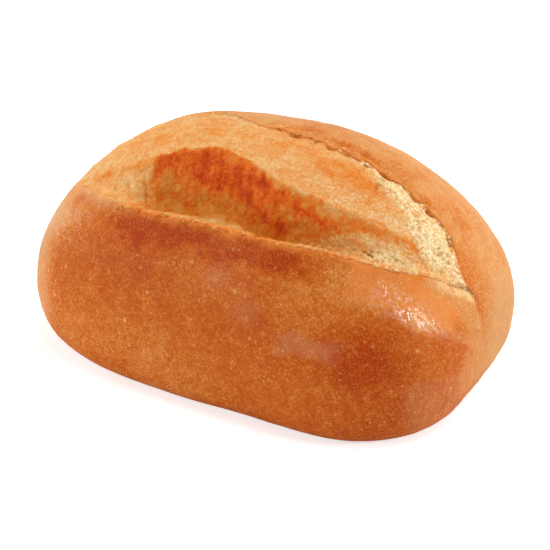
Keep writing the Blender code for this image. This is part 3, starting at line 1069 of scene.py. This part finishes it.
crumbFinish = {
    "stops": (
        (0.00, (0.82, 0.630, 0.310)),
        (0.12, (0.80, 0.480, 0.205)),
        (0.27, (0.77, 0.375, 0.122)),
        (0.45, (0.76, 0.270, 0.053)),
        (0.60, (0.76, 0.200, 0.023)),
        (0.80, (0.74, 0.125, 0.012)),
        (1.00, (0.56, 0.066, 0.007)),
    ),
    "uneven": (
        (3.0 * millimetre, 3.0, 0.6, 0.09),
        (1.0 * millimetre, 2.0, 0.6, 0.09),
        (0.45 * millimetre, 1.0, 0.6, 0.09),
    ),
    "streaks": ((1.6 * millimetre, 3.0, 0.6, 0.05),),
    "streakScale": (0.22, 1.0, 1.0),  # drawn out along the roll
    "hollow": ("hollow", 0.85, (0.58, 0.20, 0.03, 1.0)),
    "paleGrainAndGlint": (0.98, 0.84, 0.52, 1.0),
    "clumpSize": 0.62 * millimetre,
    "freshGrains": 0.80,
    "paintedGlints": 0.35,
    "grainsAllOver": 0.02,
    "shade": (0.78, 0.76, 0.48, 1.0),
    "grainSize": 1.1 * millimetre,
    "grain": 1.6,
    "clump": 1.5,
    "bump": 0.9,
    "bumpHeight": 0.16 * millimetre,
    "shineLeast": 0.05,
    "sockets": {"Roughness": 0.5, "Specular IOR Level": 0.03, "Coat Roughness": 0.18},
}


def makeCrumbFinish(settings):
    material, tree, shader = newMaterial("tornCrumb")
    coords = addNode(tree, "ShaderNodeTexCoord").outputs["Object"]
    drawnOut = addNode(tree, "ShaderNodeMapping", {"Vector": coords, "Scale": settings["streakScale"]})
    level = addUneven(tree, coords, readAttribute(tree, "bake"), settings["uneven"])
    level = addUneven(tree, drawnOut.outputs["Vector"], level, settings["streaks"])
    colour = colourRamp(tree, level, settings["stops"])
    # painted shade, multiplied over the lower face and its corner
    colour = mixColours(tree, readAttribute(tree, "shade"), colour, settings["shade"], "MULTIPLY")
    # painted shade in the caves, pores and folds
    colour = tinted(tree, colour, *settings["hollow"])
    shining = readAttribute(tree, "gloss")
    clumps = noiseTexture(tree, coords, settings["clumpSize"], 2.0, 0.55)
    grains = remap(tree, clumps, 0.50, 0.64)
    fresh = readAttribute(tree, "fresh")
    grainAndGlintShare = maths(tree, "MULTIPLY_ADD", fresh, settings["freshGrains"], settings["grainsAllOver"])
    # painted glints: more pale grains where the crumb shines, beside the fresh crumb's own pale grains
    grainAndGlintShare = maths(tree, "MULTIPLY_ADD", shining, settings["paintedGlints"], grainAndGlintShare)
    colour = mixColours(tree, maths(tree, "MULTIPLY", grains, grainAndGlintShare), colour, settings["paleGrainAndGlint"])
    tree.links.new(colour, shader.inputs["Base Color"])

    grain = noiseTexture(tree, coords, settings["grainSize"], 3.0, 0.65)
    height = maths(tree, "MULTIPLY", grain, settings["grain"])
    height = maths(tree, "MULTIPLY_ADD", clumps, settings["clump"], height)
    bumped = addBump(tree, height, settings["bump"], settings["bumpHeight"])
    tree.links.new(bumped, shader.inputs["Normal"])
    tree.links.new(bumped, shader.inputs["Coat Normal"])
    shine = maths(tree, "MULTIPLY", shining, maths(tree, "ADD", grains, settings["shineLeast"]))
    tree.links.new(shine, shader.inputs["Coat Weight"])
    setSockets(shader, settings["sockets"])
    return material


crust.data.materials.append(makeCrustFinish(crustFinish))
crumb.data.materials.append(makeCrumbFinish(crumbFinish))
for piece in (crust, crumb):
    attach(piece, "root")
    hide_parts("bread_roll")
print("finishes made")


# floor, world and lights

studioSettings = {
    "floorSize": 8.0,
    "floor": {
        "Base Color": (0.92, 0.92, 0.92, 1.0),
        "Roughness": 0.8,
        "Specular IOR Level": 0.1,
        "Emission Color": (1.0, 1.0, 1.0, 1.0),
    },
    "lift": 0.62,  # a little light of the floor's own, which keeps its shadow pale
    "backdrop": (1.0, 1.0, 1.0, 1.0),
    "world": 0.06,
    "mirrored": 1.0,  # how bright the surroundings look in a reflection
    "seen": 1.0,
}

lightSettings = {  # turn and rise of where the light comes from, distance, width, height, watts, lean
    "leftWindow": (315.0, 14.0, 1.5, 0.9, 0.6, 13.0, 0.0),
    "leftPanel": (262.0, 24.0, 1.5, 1.0, 0.8, 5.3, 0.0),
    "rightWindow": (133.0, 14.0, 1.5, 0.9, 0.6, 3.1, 0.0),
    "topRightSky": (90.0, 65.0, 1.5, 0.8, 0.8, 7.2, 0.0),
    "topBackSky": (180.0, 65.0, 1.5, 0.8, 0.8, 11.8, 0.0),
    "stripLamp": (93.0, 23.0, 1.2, 0.70, 0.10, 5.0, -40.0),
}


def makeFloor(settings):
    bpy.ops.mesh.primitive_plane_add(size=settings["floorSize"], location=(0.0, 0.0, 0.0))
    floor = bpy.context.object
    floor.name = "paleFloor"
    material, tree, shader = newMaterial("paleTable")
    setSockets(shader, settings["floor"])
    seenFloor = addNode(tree, "ShaderNodeLightPath").outputs["Is Camera Ray"]
    lift = maths(tree, "MULTIPLY", seenFloor, settings["lift"])
    tree.links.new(lift, shader.inputs["Emission Strength"])
    floor.data.materials.append(material)


def makeWorld(settings):
    world = bpy.data.worlds.new("studioWorld")
    bpy.context.scene.world = world
    world.use_nodes = True
    tree = world.node_tree
    backdrop = tree.nodes["Background"]
    ray = addNode(tree, "ShaderNodeLightPath").outputs
    strength = mixLevels(tree, ray["Is Glossy Ray"], settings["world"], settings["mirrored"])
    strength = mixLevels(tree, ray["Is Camera Ray"], strength, settings["seen"])
    tree.links.new(strength, backdrop.inputs["Strength"])
    backdrop.inputs["Color"].default_value = settings["backdrop"]


def addLight(name, turn, rise, distance, width, height, watts, lean):
    towards = directionOf(turn, rise)
    centre = (lowCorner + highCorner) / 2
    bpy.ops.object.light_add(type="AREA", location=centre + towards * distance)
    lamp = bpy.context.object
    lamp.name = name
    lamp.rotation_mode = "QUATERNION"
    leaning = Quaternion((0.0, 0.0, 1.0), math.radians(lean))
    lamp.rotation_quaternion = (-towards).to_track_quat("-Z", "Y") @ leaning
    lamp.data.shape = "RECTANGLE"
    lamp.data.size = width
    lamp.data.size_y = height
    lamp.data.energy = watts


makeFloor(studioSettings)
makeWorld(studioSettings)
for name, values in lightSettings.items():
    addLight(name, *values)
bpy.context.scene.view_settings.view_transform = "Standard"
print("studio ready")
